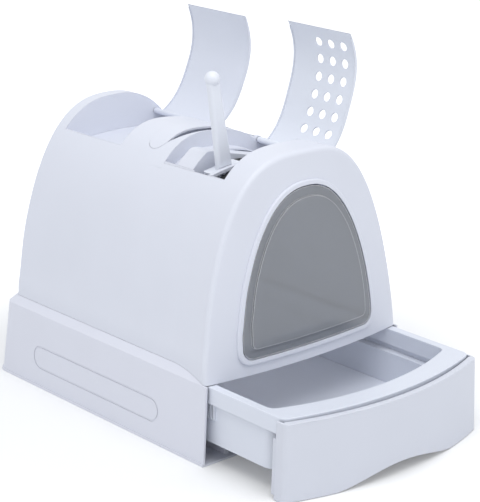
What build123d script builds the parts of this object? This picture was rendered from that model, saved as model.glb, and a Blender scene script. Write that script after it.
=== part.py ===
from build123d import *
import math
import os

# Covered litter box: a tub, an arched hood, a swing door, two top lids and a litter drawer.
# Millimetres. +Z is up, -Y is the front, +X is the right hand side seen from the front.
# The origin is the middle of the tub on the floor.
# It stands as it does while it is cleaned: drawer pulled out, both top lids open, scoop
# upright in its socket, door hanging shut.

# Tub
base_depth = 490.0
base_half_width = 190.0
base_height = 118.5
base_flare = 6.0
base_rear_flare = 16.0
base_wall = 3.0
base_corner_radius = 20.0
base_front_overhang = 4.5
shoulder_rise = 11.5
shoulder_inset = 10.0
shoulder_ledge = 8.0
foot_height = 4.0
foot_width = 1.5
runner_height = 31.5
runner_width = 8.0
runner_spacing = 2 * base_half_width - 90.0
side_groove_length = 307.0
side_groove_height = 37.0
side_groove_centre = 252.0
side_groove_level = 49.5
side_groove_width = 2.4
side_groove_depth = 0.8
lip_height = 8.0
lip_thickness = 2.4
lip_clearance = 1.8
lip_front = 90.0
lip_rear = base_depth - 70.0

# Hood
hood_wall = 2.6
face_wall = 5.0
hood_half_width = base_half_width - shoulder_inset
collar_length = 75.0
collar_power = 1.6
face_height = 424.0
rear_height = 428.5
face_bow = 16.9
face_lean = 22.0 / 300.0
hood_rear = base_depth - 27.0
face_edge_radius = 7.0
rear_edge_radius = 3.0
face_side_power = 3.125
face_crown_power = 1.57
rear_side_power = 2.547
rear_crown_power = 1.592
parting_gap = 0.3
# Places across the hood keep their share of its width
spread = hood_half_width / 180.0

# Compartments in the top of the hood, measured along it from the front corners
bay_front = 57.0
bay_rear = 130.0
ring_rear = 165.0
groove_rear = 191.0
deck_rear = 299.0
pocket_rear = hood_rear - 24.0
deck_left = -108.0 * spread
channel_right = 101.5 * spread
front_channel_right = 105.5 * spread
channel_left = 66.0 * spread
channel_level = 376.0
deck_sink = 20.0
ring_drop = 4.2
trough_depth = 24.0
compartment_wall = 2.5
pocket_level = 366.0
pocket_crown = 4.5
pocket_left = -70.0 * spread
pocket_right = 86.0 * spread
bay_left = -99.0 * spread
bay_right = 76.0 * spread
socket_level = 345.0
socket_left = -100.5 * spread
socket_right = -27.0 * spread
socket_front = 95.5
socket_rear = 125.0
rear_ledge = 3.6
front_ledge = 6.0

# Top lids
lid_wall = 2.4
lid_gap = 1.0
lid_seat_gap = 0.5
end_skirt_depth = 4.2
end_skirt_wall = 2.2
rear_lid_edge = -95.5 * spread
front_lid_edge = -101.5 * spread
hinge_x = 82.0 * spread
hinge_z = 389.0
hinge_web = 2.8
barrel_radius = 4.5
lid_pin_radius = 2.5
lid_pin_length = 3.4
pin_clearance = 0.08
ear_radius = 6.0
ear_thickness = 6.0
rear_lid_open = 113.0
front_lid_open = 109.0
vent_radius = 7.0
vent_columns = 3
vent_rows = 7
vent_column_pitch = 26.0
vent_row_pitch = 27.0
vent_first_arc = -76.0
vent_front_margin = 23.5
ridge_length = 40.0
ridge_radius = 1.7

# Filter bay contents
filter_thickness = 8.0
filter_level = 390.6
filter_crest_x = -27.0 * spread
filter_droop = 0.0035 / spread**2
filter_gap = 0.4
bay_margin = 1.5
bar_front = 88.0
bar_width = 7.0
bar_height = 5.0
bar_level = 396.0
bar_droop = 0.0016 / spread**2

# Scoop
scoop_lean = 9.0
scoop_x = -66.0 * spread
scoop_z = 402.0
scoop_centre = 102.5
scoop_top_level = 522.5
ball_radius = 10.8
grip_top_width = 19.0
grip_step_width = 21.0
grip_root_width = 26.0
grip_step_level = 462.0
grip_thickness = 13.0
grip_edge_radius = 5.2
blade_width = 56.0
scoop_seat_gap = 0.3
blade_shoulder_level = 391.0
blade_depth = 20.0
blade_offset = 4.0
blade_wall = 2.2
blade_slots = 5
blade_slot_width = 4.5

# Carry handle and finger well
handle_front = 214.0
handle_rear = 250.0
handle_left = -90.0 * spread
handle_right = 64.0 * spread
handle_thickness = 3.2
handle_proud = 0.5
handle_gap = 0.3
handle_seat = 9.0
well_front = 193.0

# Entrance door
entrance_half_width = 127.0
entrance_spring = 162.0
entrance_bottom = 141.0
entrance_top = 374.5
entrance_side_power = 2.3
entrance_crown_power = 1.6
entrance_corner_radius = 18.0
rim_proud = 4.0
rim_width = 7.0
rim_radius = 2.0
rim_rebate = 5.0
door_gap = 2.0
door_wall = 3.0
door_setback = 1.1
door_field_inset = 16.0
door_field_rise = 3.0
door_pivot_level = 361.0
door_pin_radius = 1.6
door_pin_root = 36.0
door_pin_length = 19.0
door_pin_clearance = 0.05

# Drawer
drawer_out = 145.0
frame_half_width = base_half_width - 6.0
frame_band = 14.0
frame_front = -9.0
frame_bow = 32.5
frame_inner_front = 28.0
frame_inner_bow = 35.5
frame_rear = base_depth - 24.0
frame_top = 117.7
frame_depth = 24.7
frame_wall = 2.4
frame_corner_radius = 14.0
frame_edge_radius = 1.2
tray_wall = 2.6
tray_apron_margin = 8.0
tray_step_level = 84.0
tray_step = 8.0
tray_clearance = 0.3
stop_ribs = 4
stop_rib_pitch = 7.0
stop_rib_from_front = 146.5
stop_rib_height = 23.0
stop_rib_proud = 2.6
panel_half_width = base_half_width - 2.0
panel_flare = 5.0
panel_top = 114.0
panel_bottom = 0.8
panel_front = -20.0
panel_bow = 35.0
panel_wall = 3.0
panel_lip = 8.0
panel_corner_radius = 9.0
panel_edge_radius = 1.5
panel_return = 18.0
panel_tab_depth = 26.0
panel_tab_level = 87.0
panel_tab_inset = 2.6
toe_arch_height = 19.0
toe_arch_half_width = 122.0
hanger_places = (-130.0, -50.0, 50.0, 130.0)
hanger_bottom = 44.0
hanger_top = 80.0

front_line = -base_depth / 2
shoulder_level = base_height + shoulder_rise
sky = 560.0
wide = 300.0
samples = 22


def along(from_front):
    """Y of a place measured from the front corners of the hood."""
    return front_line + from_front


def arch_numbers(from_front):
    """Half width, height and the two powers of the hood's arch at a place along it."""
    share = max(0.0, from_front / hood_rear)
    flare = max(0.0, (collar_length - from_front) / collar_length)
    half = hood_half_width + (base_half_width - hood_half_width) * flare**collar_power
    height = face_height + (rear_height - face_height) * share
    side = face_side_power + (rear_side_power - face_side_power) * share
    crown = face_crown_power + (rear_crown_power - face_crown_power) * share
    return half, height, side, crown


def arch_z(x, from_front):
    """Height of the hood's surface over a place."""
    half, height, side, crown = arch_numbers(from_front)
    rise = math.sqrt(max(0.0, 1 - min(1.0, abs(x) / half) ** side))
    return base_height + (height - base_height) * rise ** (2 / crown)


def arch_section(from_front, inset):
    """Closed arch outline standing across the box, with its feet below the parting line."""
    half, height, side, crown = arch_numbers(from_front)
    points = []
    for i in range(samples + 1):
        step = 1 - 2 * i / samples
        turn = math.copysign(abs(step) ** 1.5, step) * math.pi / 2
        x = (half - inset) * math.copysign(abs(math.sin(turn)) ** (2 / side), turn)
        z = base_height + (height - inset - base_height) * math.cos(turn) ** (2 / crown)
        points.append((x, z))
    foot = base_height - 30
    with BuildSketch(Plane.XZ.offset(-along(from_front))) as section:
        with BuildLine():
            Spline(*points, tangents=[(0, 1), (0, -1)])
            Polyline(points[-1], (points[-1][0], foot), (points[0][0], foot), points[0])
        make_face()
    return section.sketch


def hood_body(inset, last):
    """Solid hood up to a place near its rear, drawn in by an inset."""
    collar = [arch_section(collar_length * share, inset) for share in (-0.6, 0, 0.35, 0.7, 1)]
    barrel = [arch_section(collar_length, inset), arch_section(last, inset)]
    with BuildPart() as body:
        loft(sections=collar)
        loft(sections=barrel, ruled=True)
    return body.part


def in_front_of_face(setback):
    """Everything in front of the hood's bowed and leaning face, moved back by a setback."""
    low = base_height - 60
    start = along(setback) - face_lean * (base_height - low)
    edge = start + face_bow * ((wide / base_half_width) ** 2 - 1)
    with BuildPart() as block:
        with BuildSketch(Plane.XY.offset(low)):
            with BuildLine():
                ThreePointArc((-wide, edge), (0, start - face_bow), (wide, edge))
                Polyline((wide, edge), (wide, start - 200), (-wide, start - 200), (-wide, edge))
            make_face()
        extrude(amount=sky - low, dir=(0, face_lean, 1))
    return block.part


def above(floor, left, right, front, rear):
    """Everything above a floor curve, between two sides and two places along the box."""
    points = [left + (right - left) * i / samples for i in range(samples + 1)]
    points = [(x, floor(x)) for x in points]
    with BuildPart() as block:
        with BuildSketch(Plane.XZ.offset(-along(front))):
            with BuildLine():
                Spline(*points)
                Polyline(points[-1], (right, sky), (left, sky), points[0])
            make_face()
        extrude(amount=front - rear)
    return block.part


def above_line(points, front, rear):
    """Everything above a broken line, between two places along the box."""
    with BuildPart() as block:
        with BuildSketch(Plane.XZ.offset(-along(front))):
            with BuildLine():
                Polyline(*points, (points[-1][0], sky), (points[0][0], sky), close=True)
            make_face()
        extrude(amount=front - rear)
    return block.part


def across(x, radius, length_from, length_to, level=hinge_z):
    """Round bar lying along the box, for hinge pins and their holes."""
    with BuildPart() as bar:
        with BuildSketch(Plane.XZ.offset(-along(length_from))):
            with Locations((x, level)):
                Circle(radius)
        extrude(amount=length_from - length_to)
    return bar.part


def deck_z(x):
    """Carrying deck: level with the hood on the left, sunk towards the hinges."""
    share = max(0.0, min(x, hinge_x) - deck_left) / (hinge_x - deck_left)
    middle = (groove_rear + deck_rear) / 2
    return arch_z(min(x, hinge_x), middle) - deck_sink * share**1.6


def trough_z(x):
    """Floor of the trough in front of the deck and of the finger well."""
    return min(deck_z(x), arch_z(x, ring_rear)) - trough_depth


def ring_z(x):
    """Top of the coaming between the filter bay and the trough."""
    near = arch_z(x, bay_rear) - ring_drop
    return min(near, channel_level + 0.25 * max(0.0, channel_left - x))


def filter_z(x):
    return filter_level - filter_droop * (x - filter_crest_x) ** 2


def bay_z(x):
    return filter_z(x) - filter_thickness - filter_gap


def bar_z(x):
    return bar_level - bar_droop * (x - filter_crest_x) ** 2


def parting_z(from_front):
    """Height of the line where the hood stands on the tub."""
    flare = max(0.0, min(1.0, (collar_length - from_front) / collar_length))
    return shoulder_level - shoulder_rise * flare**collar_power


def parting_side(lift, upper):
    """Everything above or below the parting surface, moved up by a lift."""
    places = [collar_length * i / 8 for i in range(9)]
    curve = [(along(place), parting_z(place) + lift) for place in places]
    front = (along(-60), curve[0][1])
    rear = (along(base_depth + 60), curve[-1][1])
    end = sky if upper else -sky
    with BuildPart() as block:
        with BuildSketch(Plane.YZ.offset(-wide)):
            with BuildLine():
                Line(front, curve[0])
                Spline(*curve)
                Polyline(curve[-1], rear, (rear[0], end), (front[0], end), front)
            make_face()
        extrude(amount=2 * wide)
    return block.part


def rounded_block(half, front, rear, bottom, top, radius):
    """Upright block with rounded corners, given by its half width and its two ends."""
    with BuildPart() as block:
        with BuildSketch(Plane.XY.offset(bottom)):
            with Locations((0, (along(front) + along(rear)) / 2)):
                RectangleRounded(2 * half, rear - front, radius)
        extrude(amount=top - bottom)
    return block.part


def tub_section(level, grow, inset=0.0):
    """Outline of the tub at a level, wider towards the floor."""
    share = 1 - level / base_height if level < base_height else 0.0
    half = base_half_width + base_flare * share + grow - inset
    rear = base_depth - 4 + base_rear_flare * share + grow - inset
    front = -60.0
    with BuildSketch(Plane.XY.offset(level)) as section:
        with Locations((0, (along(front) + along(rear)) / 2)):
            RectangleRounded(2 * half, rear - front, base_corner_radius)
    return section.sketch


# Tub

front_of_tub = rounded_block(wide, -200, -base_front_overhang, -10, 200, 1)
with BuildPart() as base_shell:
    loft(sections=[tub_section(0, 0), tub_section(base_height, 0)], ruled=True)
    loft(sections=[tub_section(0, foot_width), tub_section(foot_height, foot_width)], ruled=True)
    high = tub_section(base_height, 0, shoulder_inset)
    loft(
        sections=[tub_section(base_height, 0), high.moved(Location((0, 0, shoulder_rise)))],
        ruled=True,
    )
    # Inside, up to the shoulder
    loft(
        sections=[tub_section(base_wall, -base_wall), tub_section(base_height, -base_wall)],
        ruled=True,
        mode=Mode.SUBTRACT,
    )
    under_rise = shoulder_rise - base_wall
    under_inset = shoulder_inset * under_rise / shoulder_rise
    under = tub_section(base_height, -base_wall, under_inset)
    loft(
        sections=[
            tub_section(base_height, -base_wall),
            under.moved(Location((0, 0, under_rise))),
        ],
        ruled=True,
        mode=Mode.SUBTRACT,
    )
    throat = base_half_width - shoulder_inset - shoulder_ledge
    throat_rear = hood_rear - shoulder_ledge
    add(
        rounded_block(throat, -60, throat_rear, base_height, shoulder_level + 1, 12),
        mode=Mode.SUBTRACT,
    )
    # Lip that keeps the hood in place
    lip_half = hood_half_width - hood_wall - lip_clearance
    lip_middle = (lip_front + lip_rear) / 2
    for side in (-1, 1):
        lip_x = side * (lip_half - lip_thickness / 2)
        with Locations((lip_x, along(lip_middle), shoulder_level - 1)):
            Box(
                lip_thickness, lip_rear - lip_front, lip_height + 1,
                align=(Align.CENTER, Align.CENTER, Align.MIN),
            )
    with Locations((0, along(hood_rear - hood_wall - lip_clearance / 2), shoulder_level - 1)):
        Box(
            2 * lip_half - 40, lip_thickness, lip_height + 1,
            align=(Align.CENTER, Align.MAX, Align.MIN),
        )
    # Runners that carry the tray
    with GridLocations(runner_spacing, 1, 2, 1):
        with Locations((0, along(base_depth / 2 - 6), base_wall - 0.5)):
            Box(
                runner_width, base_depth - 20, runner_height - base_wall + 0.5,
                align=(Align.CENTER, Align.CENTER, Align.MIN),
            )
    # Front opening, and the line where the hood reaches down over the collar
    add(front_of_tub, mode=Mode.SUBTRACT)
    collar_front = rounded_block(wide, -60, collar_length + 20, base_height - 20, 200, 1)
    add(collar_front & parting_side(0, True), mode=Mode.SUBTRACT)
    # Shallow groove round a long panel on each side
    wall_slope = math.degrees(math.atan(base_flare / base_height))
    groove_x = base_half_width + base_flare * (1 - side_groove_level / base_height)
    for side in (-1, 1):
        outward = Vector(side, 0, base_flare / base_height)
        wall_plane = Plane(
            origin=(side * groove_x, along(side_groove_centre), side_groove_level),
            x_dir=(0, 1, 0),
            z_dir=outward,
        )
        with BuildSketch(wall_plane):
            SlotOverall(side_groove_length, side_groove_height)
            SlotOverall(
                side_groove_length - 2 * side_groove_width,
                side_groove_height - 2 * side_groove_width,
                mode=Mode.SUBTRACT,
            )
        extrude(amount=-side_groove_depth, mode=Mode.SUBTRACT)
base_shell.part.label = "base_shell"


# Entrance outline, drawn on the front and carried through the face

def entrance_section(grow):
    """Arched entrance outline, grown by a margin, standing in front of the hood."""
    points = []
    spring = entrance_spring - min(0.0, grow)
    for i in range(samples + 1):
        step = 1 - 2 * i / samples
        turn = math.copysign(abs(step) ** 1.4, step) * math.pi / 2
        reach = abs(math.sin(turn)) ** (2 / entrance_side_power)
        rise = math.cos(turn) ** (2 / entrance_crown_power)
        x = (entrance_half_width + grow) * math.copysign(reach, turn)
        points.append((x, spring + (entrance_top + grow - spring) * rise))
    bottom = entrance_bottom - grow
    radius = entrance_corner_radius + 0.6 * grow
    right, left = points[0], points[-1]
    slant = radius * (1 - math.sqrt(0.5))
    with BuildSketch(Plane.XZ.offset(-along(-80))) as section:
        with BuildLine():
            Spline(*points, tangents=[(0, 1), (0, -1)])
            Line(left, (left[0], bottom + radius))
            ThreePointArc(
                (left[0], bottom + radius),
                (left[0] + slant, bottom + slant),
                (left[0] + radius, bottom),
            )
            Line((left[0] + radius, bottom), (right[0] - radius, bottom))
            ThreePointArc(
                (right[0] - radius, bottom),
                (right[0] - slant, bottom + slant),
                (right[0], bottom + radius),
            )
            Line((right[0], bottom + radius), right)
        make_face()
    return section.sketch


def entrance_prism(grow):
    with BuildPart() as prism:
        extrude(to_extrude=entrance_section(grow), amount=-140)
    return prism.part


def face_sheet(front, rear):
    """Sheet that follows the hood's face, between two depths behind it."""
    return in_front_of_face(rear) - in_front_of_face(front)


# Hinge line of the door, on the middle surface of its sheet at the pins
door_pin_half = door_pin_root + 0.8 * door_pin_length
pin_bow = face_bow * (1 - (door_pin_half / base_half_width) ** 2)
door_front = door_setback - rim_proud
door_back = door_front + door_wall
door_pivot_y = (
    along((door_front + door_back) / 2) - pin_bow + face_lean * (door_pivot_level - base_height)
)


def door_pin(radius, root, tip):
    """Round pins on both sides of the door, along its hinge line."""
    with BuildPart() as pins:
        for side in (-1, 1):
            with BuildSketch(Plane.YZ.offset(side * root)):
                with Locations((door_pivot_y, door_pivot_level)):
                    Circle(radius)
            extrude(amount=side * (tip - root))
    return pins.part


door_pin_tip = door_pin_root + door_pin_length


def handle_solid(grow):
    """Strap across the deck, or its seat when it is grown by a gap."""
    length = handle_right - handle_left + 2 * grow
    depth = handle_rear - handle_front + 2 * grow
    with BuildPart() as strap:
        with BuildSketch(Plane.XY.offset(socket_level)):
            with Locations(
                ((handle_left + handle_right) / 2, along((handle_front + handle_rear) / 2))
            ):
                RectangleRounded(length, depth, depth / 2 - 0.5)
        extrude(amount=sky - socket_level)
        add(
            above(
                lambda x: deck_z(x) + handle_proud - handle_thickness - grow,
                -wide / 2, channel_right + 20, 0, base_depth,
            ),
            mode=Mode.INTERSECT,
        )
        if grow == 0:
            add(
                above(
                    lambda x: deck_z(x) + handle_proud,
                    -wide / 2, channel_right + 20, 0, base_depth,
                ),
                mode=Mode.SUBTRACT,
            )
    return strap.part


well_left = handle_left + handle_seat
well_right = handle_right - handle_seat
with BuildPart() as well:
    with BuildSketch(Plane.XY.offset(socket_level)):
        with BuildLine():
            left_end = (well_left, along(handle_front + 4))
            right_end = (well_right, along(handle_front + 4))
            ThreePointArc(left_end, ((well_left + well_right) / 2, along(well_front)), right_end)
            rear_line = along(handle_rear - handle_seat / 2)
            Polyline(right_end, (well_right, rear_line), (well_left, rear_line), left_end)
        make_face()
    extrude(amount=sky - socket_level)
    add(
        above(trough_z, -wide / 2, channel_right + 20, 0, base_depth),
        mode=Mode.INTERSECT,
    )
finger_well = well.part


def front_edges(edges):
    """The edges of the entrance's rim that lie in its front surface."""
    found = []
    for edge in edges:
        place = edge.position_at(0.5)
        bow = face_bow * (1 - (place.X / base_half_width) ** 2)
        surface = front_line + face_lean * (place.Z - base_height) - bow - rim_proud
        if abs(place.Y - surface) < rim_proud / 2:
            found.append(edge)
    return found


with BuildPart() as entrance_rim:
    add(entrance_prism(rim_width) & face_sheet(-rim_proud, face_wall / 2))
    fillet(front_edges(entrance_rim.edges()), radius=rim_radius)
    add(entrance_prism(0), mode=Mode.SUBTRACT)


# Hood

cavity = hood_body(hood_wall, hood_rear - hood_wall)
cavity = cavity - in_front_of_face(face_wall)
thick = compartment_wall
cavity = cavity - above(
    lambda x: deck_z(x) - thick, deck_left - thick, channel_right + thick,
    groove_rear - thick, deck_rear + thick,
)
cavity = cavity - above(
    lambda x: trough_z(x) - thick, bay_left - thick, front_channel_right + thick,
    ring_rear - thick, handle_rear,
)
cavity = cavity - above(
    lambda x: min(ring_z(x), channel_level) - thick, bay_left - thick, front_channel_right + thick,
    bay_rear, ring_rear,
)
cavity = cavity - above(
    lambda x: bay_z(x) - thick, bay_left - thick, bay_right + thick,
    bay_front - thick, bay_rear + thick,
)
cavity = cavity - above_line(
    [(channel_left, channel_level - thick), (front_channel_right + thick, channel_level - thick)],
    bay_front - thick, ring_rear,
)
cavity = cavity - above_line(
    [(socket_left - thick, socket_level - thick), (socket_right + thick, socket_level - thick)],
    socket_front - thick, socket_rear + thick,
)


def pocket_line(drop):
    """Pocket floor: crowned in the middle, sloped up to the lid's edge on the left."""
    edge = rear_lid_edge - lid_gap
    ledge_z = arch_z(edge, deck_rear) - lid_wall - lid_seat_gap
    middle = (pocket_left + pocket_right) / 2
    reach = pocket_right - pocket_left
    places = [pocket_left + reach * i / 6 for i in range(7)]
    crown = [
        (x, pocket_level + pocket_crown * (1 - (2 * (x - middle) / reach) ** 2) - drop)
        for x in places
    ]
    return [
        (edge - drop, ledge_z - drop),
        (edge + rear_ledge, ledge_z - drop),
        *crown,
        (channel_right + drop, pocket_level + 3 - drop),
    ]


cavity = cavity - above_line(pocket_line(thick), deck_rear - thick, pocket_rear + thick)

with BuildPart() as hood_shell:
    add(hood_body(0, hood_rear))
    add(in_front_of_face(0), mode=Mode.SUBTRACT)
    for end, radius in ((0, face_edge_radius), (-1, rear_edge_radius)):
        rims = [edge for edge in hood_shell.edges() if edge.length > 4 * hood_half_width - 100]
        fillet(ShapeList(rims).sort_by(lambda edge: edge.center().Y)[end], radius=radius)
    add(cavity, mode=Mode.SUBTRACT)
    add(parting_side(parting_gap, False), mode=Mode.SUBTRACT)
    # Sunk deck and the compartments around it
    add(above(deck_z, deck_left, channel_right, groove_rear, deck_rear), mode=Mode.SUBTRACT)
    add(above_line(pocket_line(0), deck_rear, pocket_rear), mode=Mode.SUBTRACT)
    add(above(trough_z, bay_left, front_channel_right, ring_rear, groove_rear), mode=Mode.SUBTRACT)
    add(above(ring_z, bay_left, front_channel_right, bay_rear, ring_rear), mode=Mode.SUBTRACT)
    add(above(bay_z, bay_left, bay_right, bay_front, bay_rear), mode=Mode.SUBTRACT)
    add(
        above_line(
            [(channel_left, channel_level), (front_channel_right, channel_level)], bay_front, ring_rear
        ),
        mode=Mode.SUBTRACT,
    )
    add(
        above_line(
            [(socket_left, socket_level), (socket_right, socket_level)], socket_front, socket_rear
        ),
        mode=Mode.SUBTRACT,
    )
    # Ledge under the free edge of the front lid
    add(
        above(
            lambda x: arch_z(x, bay_rear) - lid_wall - lid_seat_gap - 0.4,
            front_lid_edge - lid_gap, front_lid_edge + front_ledge, bay_front, groove_rear,
        ),
        mode=Mode.SUBTRACT,
    )
    # Ears on the deck that carry the inner hinge pins of both lids
    for front in (groove_rear, deck_rear - ear_thickness):
        with BuildSketch(Plane.XZ.offset(-along(front))):
            with Locations((hinge_x, hinge_z)):
                Circle(ear_radius)
            with Locations((hinge_x, hinge_z)):
                Rectangle(2 * ear_radius, 14, align=(Align.CENTER, Align.MAX))
        extrude(amount=-ear_thickness)
    for start, end in (
        (bay_front + 1, bay_front - lid_pin_length - 1),
        (groove_rear - 1, groove_rear + ear_thickness + 1),
        (deck_rear + 1, deck_rear - ear_thickness - 1),
        (pocket_rear - 1, pocket_rear + lid_pin_length + 1),
    ):
        add(across(hinge_x, lid_pin_radius + pin_clearance, start, end), mode=Mode.SUBTRACT)
    # Finger well under the carry handle, and the seat that the handle lies in
    add(finger_well, mode=Mode.SUBTRACT)
    add(handle_solid(handle_gap), mode=Mode.SUBTRACT)
    # Entrance with its raised rim, rebated behind the door, and the sockets of the door's pins
    add(entrance_prism(0), mode=Mode.SUBTRACT)
    add(
        entrance_prism(rim_rebate) & face_sheet(door_back + door_setback, face_wall + 2),
        mode=Mode.SUBTRACT,
    )
    add(entrance_rim.part & in_front_of_face(door_back + door_setback))
    add(
        door_pin(door_pin_radius + door_pin_clearance, door_pin_root, door_pin_tip + 0.6),
        mode=Mode.SUBTRACT,
    )
hood_shell.part.label = "hood_shell"


# Entrance door: a bowed clear sheet with a raised field, and a moulded pin at each side

with BuildPart() as entrance_door:
    add(entrance_prism(-door_gap) & face_sheet(door_front, door_back))
    add(entrance_prism(-door_field_inset) & face_sheet(door_front - door_field_rise, door_back))
    add(
        entrance_prism(-door_field_inset - door_wall)
        & face_sheet(door_front - door_field_rise + door_wall, door_back + 5),
        mode=Mode.SUBTRACT,
    )
    add(door_pin(door_pin_radius, door_pin_root, door_pin_tip))
entrance_door.part.label = "entrance_door"


# Top lids: built shut, then turned open about their hinge line

def lid_body(edge, ledge, front, rear):
    """Lid that closes a compartment flush with the hood, shut, with pins at both ends."""
    middle = (front + rear) / 2
    heel = hinge_x + hinge_web
    skirt_start = edge + ledge + lid_gap

    def lid_outline(start, top, depth):
        places = [start + (heel - start) * i / samples for i in range(samples + 1)]
        outer = [(x, arch_z(x, middle) - top) for x in places]
        inner = [(x, arch_z(x, middle) - depth) for x in places]
        with BuildLine() as outline:
            Spline(*outer)
            Line(outer[-1], inner[-1])
            Spline(*reversed(inner))
            Line(inner[0], outer[0])
        return outline.line

    with BuildPart() as body:
        with BuildSketch(Plane.XZ.offset(-along(front))):
            make_face(lid_outline(edge, 0, lid_wall).edges())
        extrude(amount=front - rear)
        for start in (front, rear - end_skirt_wall):
            with BuildSketch(Plane.XZ.offset(-along(start))):
                make_face(lid_outline(skirt_start, lid_wall / 2, end_skirt_depth).edges())
            extrude(amount=-end_skirt_wall)
        # Web down to the hinge barrel
        with BuildSketch(Plane.XZ.offset(-along(front))):
            with Locations((heel, hinge_z)):
                Rectangle(
                    hinge_web, arch_z(heel, middle) - hinge_z - lid_wall / 2,
                    align=(Align.MAX, Align.MIN),
                )
            with Locations((hinge_x, hinge_z)):
                Circle(barrel_radius)
        extrude(amount=front - rear)
        add(across(hinge_x, lid_pin_radius, front - lid_pin_length, rear + lid_pin_length))
        # Finger ridge on the outside of the free edge
        ridge_x = edge + ridge_radius
        with Locations((ridge_x, along(middle), arch_z(ridge_x, middle))):
            Cylinder(ridge_radius, ridge_length, rotation=(90, 0, 0))
    return body.part


hinge_line = Axis((hinge_x, 0, hinge_z), (0, 1, 0))
rear_lid_front = deck_rear + lid_gap
rear_lid_rear = pocket_rear - lid_gap
front_lid_front = bay_front + lid_gap
front_lid_rear = groove_rear - lid_gap

with BuildPart() as rear_lid:
    shut_rear_lid = lid_body(rear_lid_edge, rear_ledge, rear_lid_front, rear_lid_rear)
    add(shut_rear_lid.rotate(hinge_line, rear_lid_open))
rear_lid.part.label = "rear_lid"


def arc_place(arc, from_front):
    """X of the place on the hood's arch that lies an arc length left of the crest."""
    x, gone = 0.0, 0.0
    step = math.copysign(0.5, arc)
    while gone < abs(arc):
        rise = arch_z(x - step, from_front) - arch_z(x, from_front)
        gone += math.hypot(step, rise)
        x -= step
    return x


with BuildPart() as shut_front_lid:
    add(lid_body(front_lid_edge, front_ledge, front_lid_front, front_lid_rear))
    middle = (front_lid_front + front_lid_rear) / 2
    # Vent holes, square to the surface, in rows towards the free edge
    for row in range(vent_rows):
        x = arc_place(vent_first_arc + vent_row_pitch * row, middle)
        z = arch_z(x, middle)
        slope = (arch_z(x - 1, middle) - arch_z(x + 1, middle)) / 2
        for column in range(vent_columns):
            place = front_lid_front + vent_front_margin + vent_column_pitch * column
            hole_plane = Plane(origin=(x, along(place), z), x_dir=(0, 1, 0), z_dir=(slope, 0, 1))
            with BuildSketch(hole_plane.offset(-6)):
                Circle(vent_radius)
            extrude(amount=12, mode=Mode.SUBTRACT)

with BuildPart() as front_lid:
    add(shut_front_lid.part.rotate(hinge_line, front_lid_open))
front_lid.part.label = "front_lid"


# Filter pad and the bar across it

with BuildPart() as carbon_filter:
    with BuildSketch(Plane.XY.offset(socket_level)):
        with Locations(((bay_left + bay_right) / 2, along((bay_front + bay_rear) / 2))):
            Rectangle(
                bay_right - bay_left - 2 * bay_margin, bay_rear - bay_front - 2 * bay_margin
            )
        with Locations((socket_right + bay_margin, along(socket_front - bay_margin))):
            Rectangle(200, 200, align=(Align.MAX, Align.MIN), mode=Mode.SUBTRACT)
    extrude(amount=100)
    add(above(filter_z, -wide, wide, 0, 200), mode=Mode.SUBTRACT)
    add(
        above(lambda x: filter_z(x) - filter_thickness, -wide, wide, 0, 200),
        mode=Mode.INTERSECT,
    )
carbon_filter.part.label = "carbon_filter"

with BuildPart() as filter_bar:
    add(
        above(
            lambda x: bar_z(x) - bar_height, bay_left + handle_gap, bay_right - handle_gap,
            bar_front, bar_front + bar_width,
        )
    )
    add(above(bar_z, -wide, wide, 0, 200), mode=Mode.SUBTRACT)
filter_bar.part.label = "filter_bar"


# Scoop: rounded grip with a ball end, and a slotted blade that stands in the socket

lean = math.radians(scoop_lean)
blade_level = socket_level + scoop_seat_gap + blade_width / 2 * math.sin(lean)
scoop_up = Vector(-math.sin(lean), 0, math.cos(lean))


def scoop_plane(level):
    """Plane square to the scoop's grip where its axis passes a level."""
    x = scoop_x - (level - scoop_z) * math.tan(lean)
    return Plane(
        origin=(x, along(scoop_centre), level), x_dir=(math.cos(lean), 0, math.sin(lean)), z_dir=scoop_up
    )


blade_length = (blade_shoulder_level - blade_level) / math.cos(lean)
with BuildPart() as scoop:
    # Grip, widest at its root
    for level, width in (
        (blade_shoulder_level - 6, grip_root_width),
        (grip_step_level, grip_step_width),
        (scoop_top_level, grip_top_width),
    ):
        with BuildSketch(scoop_plane(level)):
            RectangleRounded(width, grip_thickness, grip_edge_radius)
    loft(ruled=True)
    with Locations(scoop_plane(scoop_top_level)):
        Sphere(ball_radius)
    # Blade: a shallow tray, open to the front and below
    with BuildSketch(scoop_plane(blade_level)):
        with Locations((0, blade_offset)):
            RectangleRounded(blade_width, blade_depth, 4)
    extrude(amount=blade_length)
    with BuildSketch(scoop_plane(blade_level).offset(-1)):
        with Locations((0, blade_offset - blade_wall - 10)):
            RectangleRounded(blade_width - 2 * blade_wall, blade_depth + 20, 3)
    extrude(amount=blade_length - blade_wall + 1, mode=Mode.SUBTRACT)
    with BuildSketch(scoop_plane(blade_level).offset(7)):
        with GridLocations(blade_width / (blade_slots + 0.6), 1, blade_slots, 1):
            with Locations((0, blade_offset + blade_depth / 2)):
                Rectangle(blade_slot_width, 12)
    extrude(amount=blade_length - 17, mode=Mode.SUBTRACT)
scoop.part.label = "scoop"


# Carry handle: a strap that follows the deck

with BuildPart() as carry_handle:
    add(handle_solid(0))
carry_handle.part.label = "carry_handle"


# Litter drawer, drawn out of the tub

def drawer_outline(half, front, bow, rear, radius, grow=0.0):
    """Outline with a bowed front and rounded corners, on the floor plane."""
    half, front, rear = half + grow, along(front - drawer_out - grow), along(rear - drawer_out + grow)
    with BuildSketch(Plane.XY) as outline:
        with BuildLine():
            ThreePointArc((-half, front), (0, front - bow), (half, front))
            Polyline((half, front), (half, rear), (-half, rear), (-half, front))
        make_face()
        fillet(outline.vertices(), radius=radius + grow)
    return outline.sketch


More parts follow.
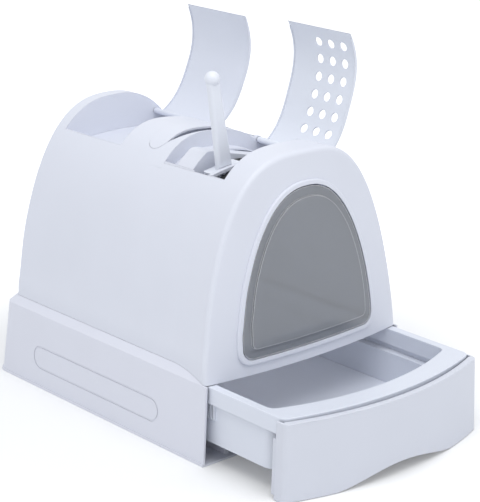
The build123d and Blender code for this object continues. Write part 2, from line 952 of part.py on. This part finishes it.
def drawer_block(grow, bottom, top, inner=True):
    """Upright block inside the frame's inner or outer edge."""
    half = frame_half_width - (frame_band if inner else 0)
    front = frame_inner_front if inner else frame_front
    bow = frame_inner_bow if inner else frame_bow
    rear = frame_rear - (frame_band if inner else 0)
    outline = drawer_outline(half, front, bow, rear, frame_corner_radius, grow)
    with BuildPart() as block:
        extrude(to_extrude=outline.moved(Location((0, 0, bottom))), amount=top - bottom)
    return block.part


frame_bottom = frame_top - frame_depth
with BuildPart() as tray_rim:
    add(drawer_block(0, frame_bottom, frame_top, inner=False))
    add(drawer_block(0, frame_bottom - 1, frame_top + 1), mode=Mode.SUBTRACT)
    fillet(tray_rim.edges().group_by(Axis.Z)[-1], radius=frame_edge_radius)
    add(
        drawer_block(-frame_wall, frame_bottom - 1, frame_top - frame_wall, inner=False)
        - drawer_block(frame_wall, frame_bottom - 2, frame_top),
        mode=Mode.SUBTRACT,
    )
tray_rim.part.label = "tray_rim"

tray_bottom = runner_height + tray_clearance
tray_top = frame_top - frame_wall - tray_clearance
with BuildPart() as litter_tray:
    add(drawer_block(tray_apron_margin, tray_bottom, tray_top))
    add(
        drawer_block(tray_apron_margin - tray_wall, tray_step_level, tray_top + 1),
        mode=Mode.SUBTRACT,
    )
    add(
        drawer_block(-tray_step, tray_bottom + tray_wall, tray_step_level + 1),
        mode=Mode.SUBTRACT,
    )
    add(
        drawer_block(tray_apron_margin - tray_wall, tray_bottom - 1, tray_step_level - tray_wall)
        - drawer_block(tray_wall - tray_step, tray_bottom - 2, tray_step_level),
        mode=Mode.SUBTRACT,
    )
    apron_half = frame_half_width - frame_band + tray_apron_margin
    rib_top = frame_bottom - 1.5
    for side in (-1, 1):
        with Locations((side * apron_half, along(stop_rib_from_front - drawer_out), rib_top)):
            with GridLocations(1, stop_rib_pitch, 1, stop_ribs):
                Box(
                    2 * stop_rib_proud, stop_rib_pitch * 0.45, stop_rib_height,
                    align=(Align.CENTER, Align.CENTER, Align.MAX),
                )
litter_tray.part.label = "litter_tray"


def panel_section(level, back, grow=0.0):
    """Plan outline of the drawer front at a level, wider towards the floor."""
    half = panel_half_width + panel_flare * (1 - level / panel_top) + grow
    front = along(panel_front - drawer_out - grow)
    rear = along(back - drawer_out)
    bow = panel_bow + panel_flare * 0.4 * (1 - level / panel_top)
    with BuildSketch(Plane.XY.offset(level)) as outline:
        with BuildLine():
            ThreePointArc((-half, front), (0, front - bow), (half, front))
            Polyline((half, front), (half, rear), (-half, rear), (-half, front))
        make_face()
        corners = outline.vertices().group_by(Axis.Y)[0]
        fillet(corners, radius=max(1.0, panel_corner_radius + grow))
    return outline.sketch


def panel_block(back, grow, bottom, top):
    with BuildPart() as block:
        loft(sections=[panel_section(bottom, back, grow), panel_section(top, back, grow)], ruled=True)
    return block.part


panel_back = panel_front + panel_return
tab_back = panel_front + panel_tab_depth
with BuildPart() as drawer_front:
    add(panel_block(panel_back, 0, panel_bottom, panel_top))
    top_edges = drawer_front.edges().group_by(Axis.Z)[-1].sort_by(lambda edge: edge.center().Y)
    fillet(top_edges[:-1], radius=panel_edge_radius)
    add(
        panel_block(panel_back + 20, -panel_wall, panel_bottom - 2, panel_top - panel_wall),
        mode=Mode.SUBTRACT,
    )
    # The top is a narrow lip that stops short of the tray's rim
    add(
        panel_block(panel_back + 90, -panel_lip, panel_top - panel_wall - 1, panel_top + 2),
        mode=Mode.SUBTRACT,
    )
    behind_lip = rounded_block(wide, frame_front - drawer_out - 3, 0, panel_top - 20, panel_top + 2, 1)
    add(
        panel_block(panel_back + 20, -panel_wall, panel_top - panel_wall - 1, panel_top + 2)
        & behind_lip,
        mode=Mode.SUBTRACT,
    )
    # Deeper tabs that run inside the tub's walls
    tab = panel_block(tab_back, -panel_tab_inset, panel_bottom + 5, panel_tab_level)
    tab = tab - panel_block(tab_back + 20, -panel_tab_inset - panel_wall, panel_bottom, panel_top)
    tab_rear = rounded_block(wide, panel_front - drawer_out - 1, 0, 0, panel_top, 1)
    add(tab & tab_rear)
    # Hangers that reach back to the tray
    hanger_front = panel_front - panel_bow - drawer_out
    for x in hanger_places:
        with Locations((x, along(hanger_front), hanger_bottom)):
            Box(
                panel_wall, 120, hanger_top - hanger_bottom,
                align=(Align.CENTER, Align.MIN, Align.MIN),
            )
    add(
        panel_block(panel_back + 200, 40, panel_bottom - 5, panel_top + 5)
        - panel_block(panel_back + 200, 0, panel_bottom - 5, panel_top + 5),
        mode=Mode.SUBTRACT,
    )
    add(
        drawer_block(tray_apron_margin + tray_clearance, panel_bottom, panel_top),
        mode=Mode.SUBTRACT,
    )
    # Toe arch
    arch_steps = 8
    arch = [
        (
            toe_arch_half_width * (2 * i / arch_steps - 1),
            toe_arch_height * math.sin(math.pi * i / arch_steps) ** 1.5,
        )
        for i in range(arch_steps + 1)
    ]
    with BuildSketch(Plane.XZ.offset(-along(panel_front - panel_bow - drawer_out - 20))):
        with BuildLine():
            Spline(*arch)
            Polyline(arch[-1], (arch[-1][0], -10), (arch[0][0], -10), arch[0])
        make_face()
    extrude(amount=-(panel_bow + panel_tab_depth), mode=Mode.SUBTRACT)
drawer_front.part.label = "drawer_front"


os.makedirs("parts", exist_ok=True)
pieces = (
    base_shell, hood_shell, entrance_door, rear_lid, front_lid, carbon_filter, filter_bar,
    scoop, carry_handle, litter_tray, tray_rim, drawer_front,
)
for piece in pieces:
    export_step(piece.part, f"parts/{piece.part.label}.step")
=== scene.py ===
import bpy
import math
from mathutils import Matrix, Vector


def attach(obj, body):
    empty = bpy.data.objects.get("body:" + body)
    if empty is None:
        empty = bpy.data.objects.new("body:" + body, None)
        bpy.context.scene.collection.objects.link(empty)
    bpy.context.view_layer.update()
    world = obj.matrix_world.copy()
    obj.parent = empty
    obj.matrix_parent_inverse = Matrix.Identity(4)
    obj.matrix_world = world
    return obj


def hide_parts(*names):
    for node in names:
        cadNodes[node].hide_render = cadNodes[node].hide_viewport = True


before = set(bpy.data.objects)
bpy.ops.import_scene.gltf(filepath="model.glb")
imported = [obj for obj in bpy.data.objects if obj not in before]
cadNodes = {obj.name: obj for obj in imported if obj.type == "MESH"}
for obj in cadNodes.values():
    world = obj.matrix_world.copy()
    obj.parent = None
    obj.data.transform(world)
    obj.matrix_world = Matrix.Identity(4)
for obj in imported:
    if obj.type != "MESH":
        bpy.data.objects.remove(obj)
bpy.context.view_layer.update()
print("stage: frame loaded,", len(cadNodes), "nodes")

bpy.context.scene.view_settings.view_transform = "Standard"

# the photograph's viewing angle, from the front left and above
cameraValues = {
    "place": (-1.72691, -2.06645, 1.09400),
    "turn": (math.pi / 2 - 0.315124, 0.0, -0.721785),
    "lens": 132.67,
    "sensor": 36.0,
    "nearest": 0.05,
    "farthest": 60.0,
}


def makeCamera(values):
    bpy.ops.object.camera_add(location=values["place"], rotation=values["turn"])
    camera = bpy.context.object
    camera.name = "photoCamera"
    camera.data.lens = values["lens"]
    camera.data.sensor_width = values["sensor"]
    camera.data.sensor_fit = "AUTO"
    camera.data.clip_start = values["nearest"]
    camera.data.clip_end = values["farthest"]
    bpy.context.scene.camera = camera


makeCamera(cameraValues)
print("stage: camera placed")


def addNode(tree, kind, place, **settings):
    node = tree.nodes.new(kind)
    node.location = place
    for name, value in settings.items():
        setattr(node, name, value)
    return node


def fillIn(node, sockets):
    for socket, value in sockets.items():
        node.inputs[socket].default_value = value


def newMaterial(name):
    material = bpy.data.materials.new(name)
    material.use_nodes = True
    tree = material.node_tree
    return material, tree, tree.nodes["Principled BSDF"]


# skin that all the mouldings share: random tone drift, grain and ripple, and a painted shade that darkens the
# colour in narrow gaps
skinValues = {
    "driftScale": 9.0, "driftDetail": 3.0,  # slow change of shade over a moulding
    "grainDetail": 2.0, "grainRoughness": 0.14, "grainDepth": 0.02,
    "flowScale": 22.0, "flowDetail": 1.0, "flowDepth": 0.06,  # the walls are never quite flat
    # painted shade in narrow gaps: how far the occlusion looks, where it starts and ends, and how dark it paints
    # the colour
    "gapReach": 0.006, "gapShut": 0.10, "gapOpen": 0.45, "paintedGapShade": 0.22, "gapSamples": 6,
}


def makeMouldedSkin(values):
    group = bpy.data.node_groups.new("mouldedSkin", "ShaderNodeTree")
    face = group.interface
    face.new_socket("Colour", in_out="INPUT", socket_type="NodeSocketColor")
    for name in ("Shade Drift", "Roughness", "Grain Size"):
        face.new_socket(name, in_out="INPUT", socket_type="NodeSocketFloat")
    face.new_socket("Colour", in_out="OUTPUT", socket_type="NodeSocketColor")
    for name in ("Roughness", "Height"):
        face.new_socket(name, in_out="OUTPUT", socket_type="NodeSocketFloat")
    inside = addNode(group, "NodeGroupInput", (-900, 0))
    outside = addNode(group, "NodeGroupOutput", (700, 0))
    place = addNode(group, "ShaderNodeTexCoord", (-900, -300))
    drift = addNode(group, "ShaderNodeTexNoise", (-600, 200))
    fillIn(drift, {"Scale": values["driftScale"], "Detail": values["driftDetail"]})
    grain = addNode(group, "ShaderNodeTexNoise", (-600, -100))
    fillIn(grain, {"Detail": values["grainDetail"]})
    flow = addNode(group, "ShaderNodeTexNoise", (-600, -400))
    fillIn(flow, {"Scale": values["flowScale"], "Detail": values["flowDetail"]})
    for texture in (drift, grain, flow):
        group.links.new(place.outputs["Object"], texture.inputs["Vector"])
    group.links.new(inside.outputs["Grain Size"], grain.inputs["Scale"])

    # the colour scale is 1 on average with a random drift, and less in a narrow gap, where a painted shade stands
    # in for the shadow that falls there
    centred = addNode(group, "ShaderNodeMath", (-380, 200), operation="SUBTRACT")
    fillIn(centred, {1: 0.5})
    drifted = addNode(group, "ShaderNodeMath", (-200, 200), operation="MULTIPLY_ADD")
    fillIn(drifted, {2: 1.0})
    group.links.new(drift.outputs["Fac"], centred.inputs[0])
    group.links.new(centred.outputs[0], drifted.inputs[0])
    group.links.new(inside.outputs["Shade Drift"], drifted.inputs[1])
    gap = addNode(group, "ShaderNodeAmbientOcclusion", (-560, 480), samples=values["gapSamples"])
    fillIn(gap, {"Distance": values["gapReach"]})
    paintedGapShade = addNode(group, "ShaderNodeMapRange", (-380, 480))
    fillIn(paintedGapShade, {"From Min": values["gapShut"], "From Max": values["gapOpen"], "To Min": values["paintedGapShade"]})
    group.links.new(gap.outputs["AO"], paintedGapShade.inputs["Value"])
    dimmed = addNode(group, "ShaderNodeMath", (-100, 400), operation="MULTIPLY")
    group.links.new(drifted.outputs[0], dimmed.inputs[0])
    group.links.new(paintedGapShade.outputs["Result"], dimmed.inputs[1])
    shaded = addNode(group, "ShaderNodeVectorMath", (0, 200), operation="SCALE")
    group.links.new(inside.outputs["Colour"], shaded.inputs[0])
    group.links.new(dimmed.outputs[0], shaded.inputs["Scale"])
    group.links.new(shaded.outputs[0], outside.inputs["Colour"])

    # the grain roughens the skin a little
    rough = addNode(group, "ShaderNodeMath", (-200, 0), operation="MULTIPLY_ADD")
    fillIn(rough, {1: values["grainRoughness"]})
    group.links.new(grain.outputs["Fac"], rough.inputs[0])
    group.links.new(inside.outputs["Roughness"], rough.inputs[2])
    group.links.new(rough.outputs[0], outside.inputs["Roughness"])

    # fine grain on top of a slow ripple
    grainHeight = addNode(group, "ShaderNodeMath", (-380, -150), operation="MULTIPLY")
    fillIn(grainHeight, {1: values["grainDepth"]})
    height = addNode(group, "ShaderNodeMath", (-200, -300), operation="MULTIPLY_ADD")
    fillIn(height, {1: values["flowDepth"]})
    group.links.new(grain.outputs["Fac"], grainHeight.inputs[0])
    group.links.new(flow.outputs["Fac"], height.inputs[0])
    group.links.new(grainHeight.outputs[0], height.inputs[2])
    group.links.new(height.outputs[0], outside.inputs["Height"])
    return group


mouldedSkin = makeMouldedSkin(skinValues)

# one plastic for each kind of moulding, and the pieces that are moulded in it
plasticValues = {
    "hoodPlastic": {
        "pieces": ("hood_shell", "carry_handle", "filter_bar"),
        "colour": (0.735, 0.755, 0.832), "roughness": 0.36, "grainSize": 900.0,
    },
    "tubPlastic": {
        "pieces": ("base_shell",),
        "colour": (0.744, 0.757, 0.836), "roughness": 0.38, "grainSize": 900.0,
    },
    "lidPlastic": {
        "pieces": ("rear_lid",),
        "colour": (0.725, 0.752, 0.835), "roughness": 0.38, "grainSize": 900.0,
    },
    # the same plastic as the rear lid, painted lighter to stand in for the light the front lid catches
    "ventedLidPlasticPaintedLighter": {
        "pieces": ("front_lid",),
        "colour": (0.765, 0.794, 0.868), "roughness": 0.38, "grainSize": 900.0,
    },
    "trayPlastic": {
        "pieces": ("litter_tray", "tray_rim"),
        "colour": (0.752, 0.783, 0.866), "roughness": 0.34, "grainSize": 700.0,
    },
    "panelPlastic": {
        "pieces": ("drawer_front",),
        "colour": (0.690, 0.711, 0.785), "roughness": 0.38, "grainSize": 900.0,
    },
    "scoopPlastic": {
        "pieces": ("scoop",),
        "colour": (0.800, 0.826, 0.898), "roughness": 0.24, "grainSize": 700.0,
    },
}
# what the plastics have in common
plasticRelief = {
    "drift": 0.05, "edgeRadius": 0.0009, "edgeSamples": 4,
    "bumpStrength": 0.25, "bumpDistance": 0.002, "ior": 1.49,
}


def makePlastic(name, values, relief):
    material, tree, shader = newMaterial(name)
    skin = addNode(tree, "ShaderNodeGroup", (-500, 0), node_tree=mouldedSkin)
    fillIn(skin, {
        "Colour": (*values["colour"], 1.0),
        "Shade Drift": relief["drift"],
        "Roughness": values["roughness"],
        "Grain Size": values["grainSize"],
    })
    softEdge = addNode(tree, "ShaderNodeBevel", (-500, -350), samples=relief["edgeSamples"])
    fillIn(softEdge, {"Radius": relief["edgeRadius"]})
    bump = addNode(tree, "ShaderNodeBump", (-250, -250))
    fillIn(bump, {"Strength": relief["bumpStrength"], "Distance": relief["bumpDistance"]})
    fillIn(shader, {"IOR": relief["ior"]})
    tree.links.new(skin.outputs["Colour"], shader.inputs["Base Color"])
    tree.links.new(skin.outputs["Roughness"], shader.inputs["Roughness"])
    tree.links.new(skin.outputs["Height"], bump.inputs["Height"])
    tree.links.new(softEdge.outputs["Normal"], bump.inputs["Normal"])
    tree.links.new(bump.outputs["Normal"], shader.inputs["Normal"])
    return material


def coverPiece(piece, material):
    for slot in cadNodes[piece].material_slots:
        slot.material = material


for plasticName, values in plasticValues.items():
    plastic = makePlastic(plasticName, values, plasticRelief)
    for piece in values["pieces"]:
        coverPiece(piece, plastic)
print("stage: plastics on the mouldings")

# smoked clear sheet of the swing door, with a painted highlight: the base colour goes white along its moulded
# edges
doorValues = {
    "tint": (0.412, 0.430, 0.459), "clear": 0.58, "ior": 1.45,
    "roughness": 0.07, "hazeRoughness": 0.04, "hazeScale": 60.0, "hazeDetail": 3.0,
    "bumpStrength": 0.05, "bumpDistance": 0.001,
    # the white edge colour is a painted highlight; the other edge values set how wide the band reaches
    "paintedEdgeHighlight": (1.0, 1.0, 1.0), "edgeReach": 0.0018, "edgeSamples": 6,
    "edgeStart": 0.995, "edgeFull": 0.97,  # how far the rounded normal agrees with the flat one
}


def makeSmoked(values):
    material, tree, shader = newMaterial("smokedClear")
    place = addNode(tree, "ShaderNodeTexCoord", (-900, 0))
    haze = addNode(tree, "ShaderNodeTexNoise", (-700, 0))
    fillIn(haze, {"Scale": values["hazeScale"], "Detail": values["hazeDetail"]})
    tree.links.new(place.outputs["Object"], haze.inputs["Vector"])
    rough = addNode(tree, "ShaderNodeMath", (-450, 0), operation="MULTIPLY_ADD")
    fillIn(rough, {1: values["hazeRoughness"], 2: values["roughness"]})
    tree.links.new(haze.outputs["Fac"], rough.inputs[0])
    tree.links.new(rough.outputs[0], shader.inputs["Roughness"])
    bump = addNode(tree, "ShaderNodeBump", (-250, -250))
    fillIn(bump, {"Strength": values["bumpStrength"], "Distance": values["bumpDistance"]})
    tree.links.new(haze.outputs["Fac"], bump.inputs["Height"])
    tree.links.new(bump.outputs["Normal"], shader.inputs["Normal"])

    # near an edge the rounded normal leaves the flat one, and there the base colour is mixed towards white as a
    # painted highlight
    rounded = addNode(tree, "ShaderNodeBevel", (-900, 500), samples=values["edgeSamples"])
    fillIn(rounded, {"Radius": values["edgeReach"]})
    surface = addNode(tree, "ShaderNodeNewGeometry", (-900, 350))
    agreement = addNode(tree, "ShaderNodeVectorMath", (-700, 450), operation="DOT_PRODUCT")
    tree.links.new(rounded.outputs["Normal"], agreement.inputs[0])
    tree.links.new(surface.outputs["Normal"], agreement.inputs[1])
    highlightMask = addNode(tree, "ShaderNodeMapRange", (-500, 450))
    fillIn(highlightMask, {"From Min": values["edgeStart"], "From Max": values["edgeFull"]})
    tree.links.new(agreement.outputs["Value"], highlightMask.inputs["Value"])
    colour = addNode(tree, "ShaderNodeMix", (-250, 500), data_type="RGBA")
    fillIn(colour, {"A": (*values["tint"], 1.0), "B": (*values["paintedEdgeHighlight"], 1.0)})
    tree.links.new(highlightMask.outputs["Result"], colour.inputs["Factor"])
    tree.links.new(colour.outputs["Result"], shader.inputs["Base Color"])
    fillIn(shader, {"IOR": values["ior"], "Transmission Weight": values["clear"]})
    return material


coverPiece("entrance_door", makeSmoked(doorValues))
print("stage: smoked door")

# open-celled black foam of the filter pad
foamValues = {
    "cellScale": 420.0, "cellDark": (0.006, 0.006, 0.007), "cellPale": (0.040, 0.042, 0.046), "paleFrom": 0.6,
    "bumpStrength": 0.8, "bumpDistance": 0.0015, "roughness": 0.95,
}


def makeFoam(values):
    material, tree, shader = newMaterial("carbonFoam")
    place = addNode(tree, "ShaderNodeTexCoord", (-900, 0))
    cells = addNode(tree, "ShaderNodeTexVoronoi", (-700, 0))
    fillIn(cells, {"Scale": values["cellScale"]})
    tree.links.new(place.outputs["Object"], cells.inputs["Vector"])
    colours = addNode(tree, "ShaderNodeValToRGB", (-450, 100))
    dark, pale = colours.color_ramp.elements
    dark.color = (*values["cellDark"], 1)
    pale.color = (*values["cellPale"], 1)
    pale.position = values["paleFrom"]
    tree.links.new(cells.outputs["Distance"], colours.inputs["Fac"])
    tree.links.new(colours.outputs["Color"], shader.inputs["Base Color"])
    bump = addNode(tree, "ShaderNodeBump", (-250, -250))
    fillIn(bump, {"Strength": values["bumpStrength"], "Distance": values["bumpDistance"]})
    tree.links.new(cells.outputs["Distance"], bump.inputs["Height"])
    tree.links.new(bump.outputs["Normal"], shader.inputs["Normal"])
    fillIn(shader, {"Roughness": values["roughness"]})
    return material


carbonFoam = makeFoam(foamValues)
coverPiece("carbon_filter", carbonFoam)

# the pad lies over the arched floor of its bay, and the scoop's socket takes its rear left corner
padValues = {
    "left": -0.0975, "right": 0.0745, "front": -0.1865, "rear": -0.1165,
    "cutLeftOf": -0.0255, "cutBehind": -0.1510,
    "crestX": -0.027, "crestZ": 0.3906, "droop": 3.5, "thickness": 0.008,
    "cellsAcross": 44, "cellsDeep": 20,
    "edgeRound": 0.0022, "edgeSteps": 3, "sharpFrom": math.radians(60),
}


def makeFoamPad(values):
    bpy.ops.object.select_all(action="DESELECT")
    bpy.ops.mesh.primitive_grid_add(
        x_subdivisions=values["cellsAcross"], y_subdivisions=values["cellsDeep"], size=1,
        location=((values["left"] + values["right"]) / 2, (values["front"] + values["rear"]) / 2, 0),
    )
    pad = bpy.context.object
    pad.name = "filterPad"
    pad.scale = (values["right"] - values["left"], values["rear"] - values["front"], 1)
    bpy.ops.object.transform_apply(location=True, rotation=True, scale=True)
    bpy.ops.object.mode_set(mode="EDIT")
    bpy.ops.mesh.select_all(action="DESELECT")
    bpy.ops.object.mode_set(mode="OBJECT")
    for face in pad.data.polygons:
        face.select = face.center.x < values["cutLeftOf"] and face.center.y > values["cutBehind"]
    bpy.ops.object.mode_set(mode="EDIT")
    bpy.ops.mesh.delete(type="FACE")
    bpy.ops.object.mode_set(mode="OBJECT")
    for corner in pad.data.vertices:
        corner.co.z = values["crestZ"] - values["droop"] * (corner.co.x - values["crestX"]) ** 2
    wall = pad.modifiers.new("thickness", "SOLIDIFY")
    wall.thickness = values["thickness"]
    wall.offset = -1  # the arched sheet stays on top
    soft = pad.modifiers.new("softEdge", "BEVEL")
    soft.width = values["edgeRound"]
    soft.segments = values["edgeSteps"]
    soft.limit_method = "ANGLE"
    soft.angle_limit = values["sharpFrom"]
    for modifier in ("thickness", "softEdge"):
        bpy.ops.object.modifier_apply(modifier=modifier)
    bpy.ops.object.shade_smooth()
    pad.data.materials.clear()
    pad.data.materials.append(carbonFoam)
    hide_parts("carbon_filter")
    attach(pad, "hood")
    return pad


filterPad = makeFoamPad(padValues)
print("stage: foam pad,", len(filterPad.data.polygons), "faces")


def backgroundRays(tree):
    # 1 for the rays that show the white background: the camera's, reflected ones and those through the door
    path = addNode(tree, "ShaderNodeLightPath", (-600, 300))
    seen = addNode(tree, "ShaderNodeMath", (-400, 300), operation="MAXIMUM")
    seenAll = addNode(tree, "ShaderNodeMath", (-200, 300), operation="MAXIMUM")
    tree.links.new(path.outputs["Is Camera Ray"], seen.inputs[0])
    tree.links.new(path.outputs["Is Glossy Ray"], seen.inputs[1])
    tree.links.new(seen.outputs[0], seenAll.inputs[0])
    tree.links.new(path.outputs["Is Transmission Ray"], seenAll.inputs[1])
    return seenAll.outputs[0]


# white paper floor, lifted more the further it is from the object, so that the shadow near it stays
floorValues = {
    "size": 14.0, "colour": (0.86, 0.86, 0.86), "roughness": 0.9,
    "nearReach": 0.36, "nearLift": 0.12, "farReach": 0.80, "farLift": 0.60,
}


def makeFloor(values):
    bpy.ops.object.select_all(action="DESELECT")
    bpy.ops.mesh.primitive_plane_add(size=values["size"], location=(0, 0, 0))
    floor = bpy.context.object
    floor.name = "studioFloor"
    material, tree, shader = newMaterial("floorPaper")
    fillIn(shader, {
        "Base Color": (*values["colour"], 1.0),
        "Roughness": values["roughness"],
        "Specular IOR Level": 0.0,
    })
    place = addNode(tree, "ShaderNodeTexCoord", (-900, 0))
    distance = addNode(tree, "ShaderNodeVectorMath", (-700, 0), operation="LENGTH")
    lift = addNode(tree, "ShaderNodeMapRange", (-500, 0), interpolation_type="SMOOTHSTEP")
    fillIn(lift, {
        "From Min": values["nearReach"], "To Min": values["nearLift"],
        "From Max": values["farReach"], "To Max": values["farLift"],
    })
    glow = addNode(tree, "ShaderNodeEmission", (100, 150))
    noGlow = addNode(tree, "ShaderNodeEmission", (100, 50))
    fillIn(noGlow, {"Strength": 0.0})
    choose = addNode(tree, "ShaderNodeMixShader", (300, 200))
    lifted = addNode(tree, "ShaderNodeAddShader", (500, 0))
    tree.links.new(place.outputs["Object"], distance.inputs[0])
    tree.links.new(distance.outputs["Value"], lift.inputs["Value"])
    tree.links.new(lift.outputs["Result"], glow.inputs["Strength"])
    tree.links.new(backgroundRays(tree), choose.inputs[0])
    tree.links.new(noGlow.outputs[0], choose.inputs[1])
    tree.links.new(glow.outputs[0], choose.inputs[2])
    tree.links.new(shader.outputs[0], lifted.inputs[0])
    tree.links.new(choose.outputs[0], lifted.inputs[1])
    tree.links.new(lifted.outputs[0], tree.nodes["Material Output"].inputs["Surface"])
    floor.data.materials.append(material)


# soft studio air, which looks white in the background
airValues = {
    "softColour": (0.93, 0.96, 1.0, 1), "softStrength": 0.74,
    "seenColour": (1, 1, 1, 1), "seenStrength": 1.0,
}


def makeAir(values):
    world = bpy.data.worlds.new("studioAir")
    bpy.context.scene.world = world
    world.use_nodes = True
    tree = world.node_tree
    soft = tree.nodes["Background"]
    fillIn(soft, {"Color": values["softColour"], "Strength": values["softStrength"]})
    white = addNode(tree, "ShaderNodeBackground", (0, -200))
    fillIn(white, {"Color": values["seenColour"], "Strength": values["seenStrength"]})
    choose = addNode(tree, "ShaderNodeMixShader", (200, 0))
    tree.links.new(backgroundRays(tree), choose.inputs[0])
    tree.links.new(soft.outputs[0], choose.inputs[1])
    tree.links.new(white.outputs[0], choose.inputs[2])
    tree.links.new(choose.outputs[0], tree.nodes["World Output"].inputs["Surface"])


lampValues = {
    "skyLamp": {"place": (-0.5, -0.9, 2.6), "aim": (0, -0.2, 0.2), "size": 2.4, "power": 29.0, "seen": True},
    "sideLamp": {"place": (-2.6, -0.2, 1.3), "aim": (0, 0, 0.2), "size": 1.8, "power": 2.0, "seen": True},
    "frontLamp": {"place": (0.6, -2.8, 1.4), "aim": (0, -0.2, 0.2), "size": 2.0, "power": 3.0, "seen": True},
    # light that the thin white walls let through into the cabin and the tray
    "throughWallsLamp": {
        "place": (0, -0.03, 0.335), "aim": (0, -0.06, 0), "size": 0.18, "power": 0.18, "seen": False,
    },
}


def makeLamp(name, values):
    towards = Vector(values["aim"]) - Vector(values["place"])
    bpy.ops.object.light_add(type="AREA", location=values["place"])
    lamp = bpy.context.object
    lamp.name = name
    lamp.rotation_euler = towards.to_track_quat("-Z", "Y").to_euler()
    lamp.data.shape = "DISK"
    lamp.data.size = values["size"]
    lamp.data.energy = values["power"]
    lamp.visible_camera = lamp.visible_transmission = lamp.visible_glossy = values["seen"]


makeFloor(floorValues)
makeAir(airValues)
for lampName, values in lampValues.items():
    makeLamp(lampName, values)
print("stage: floor, air and lamps")
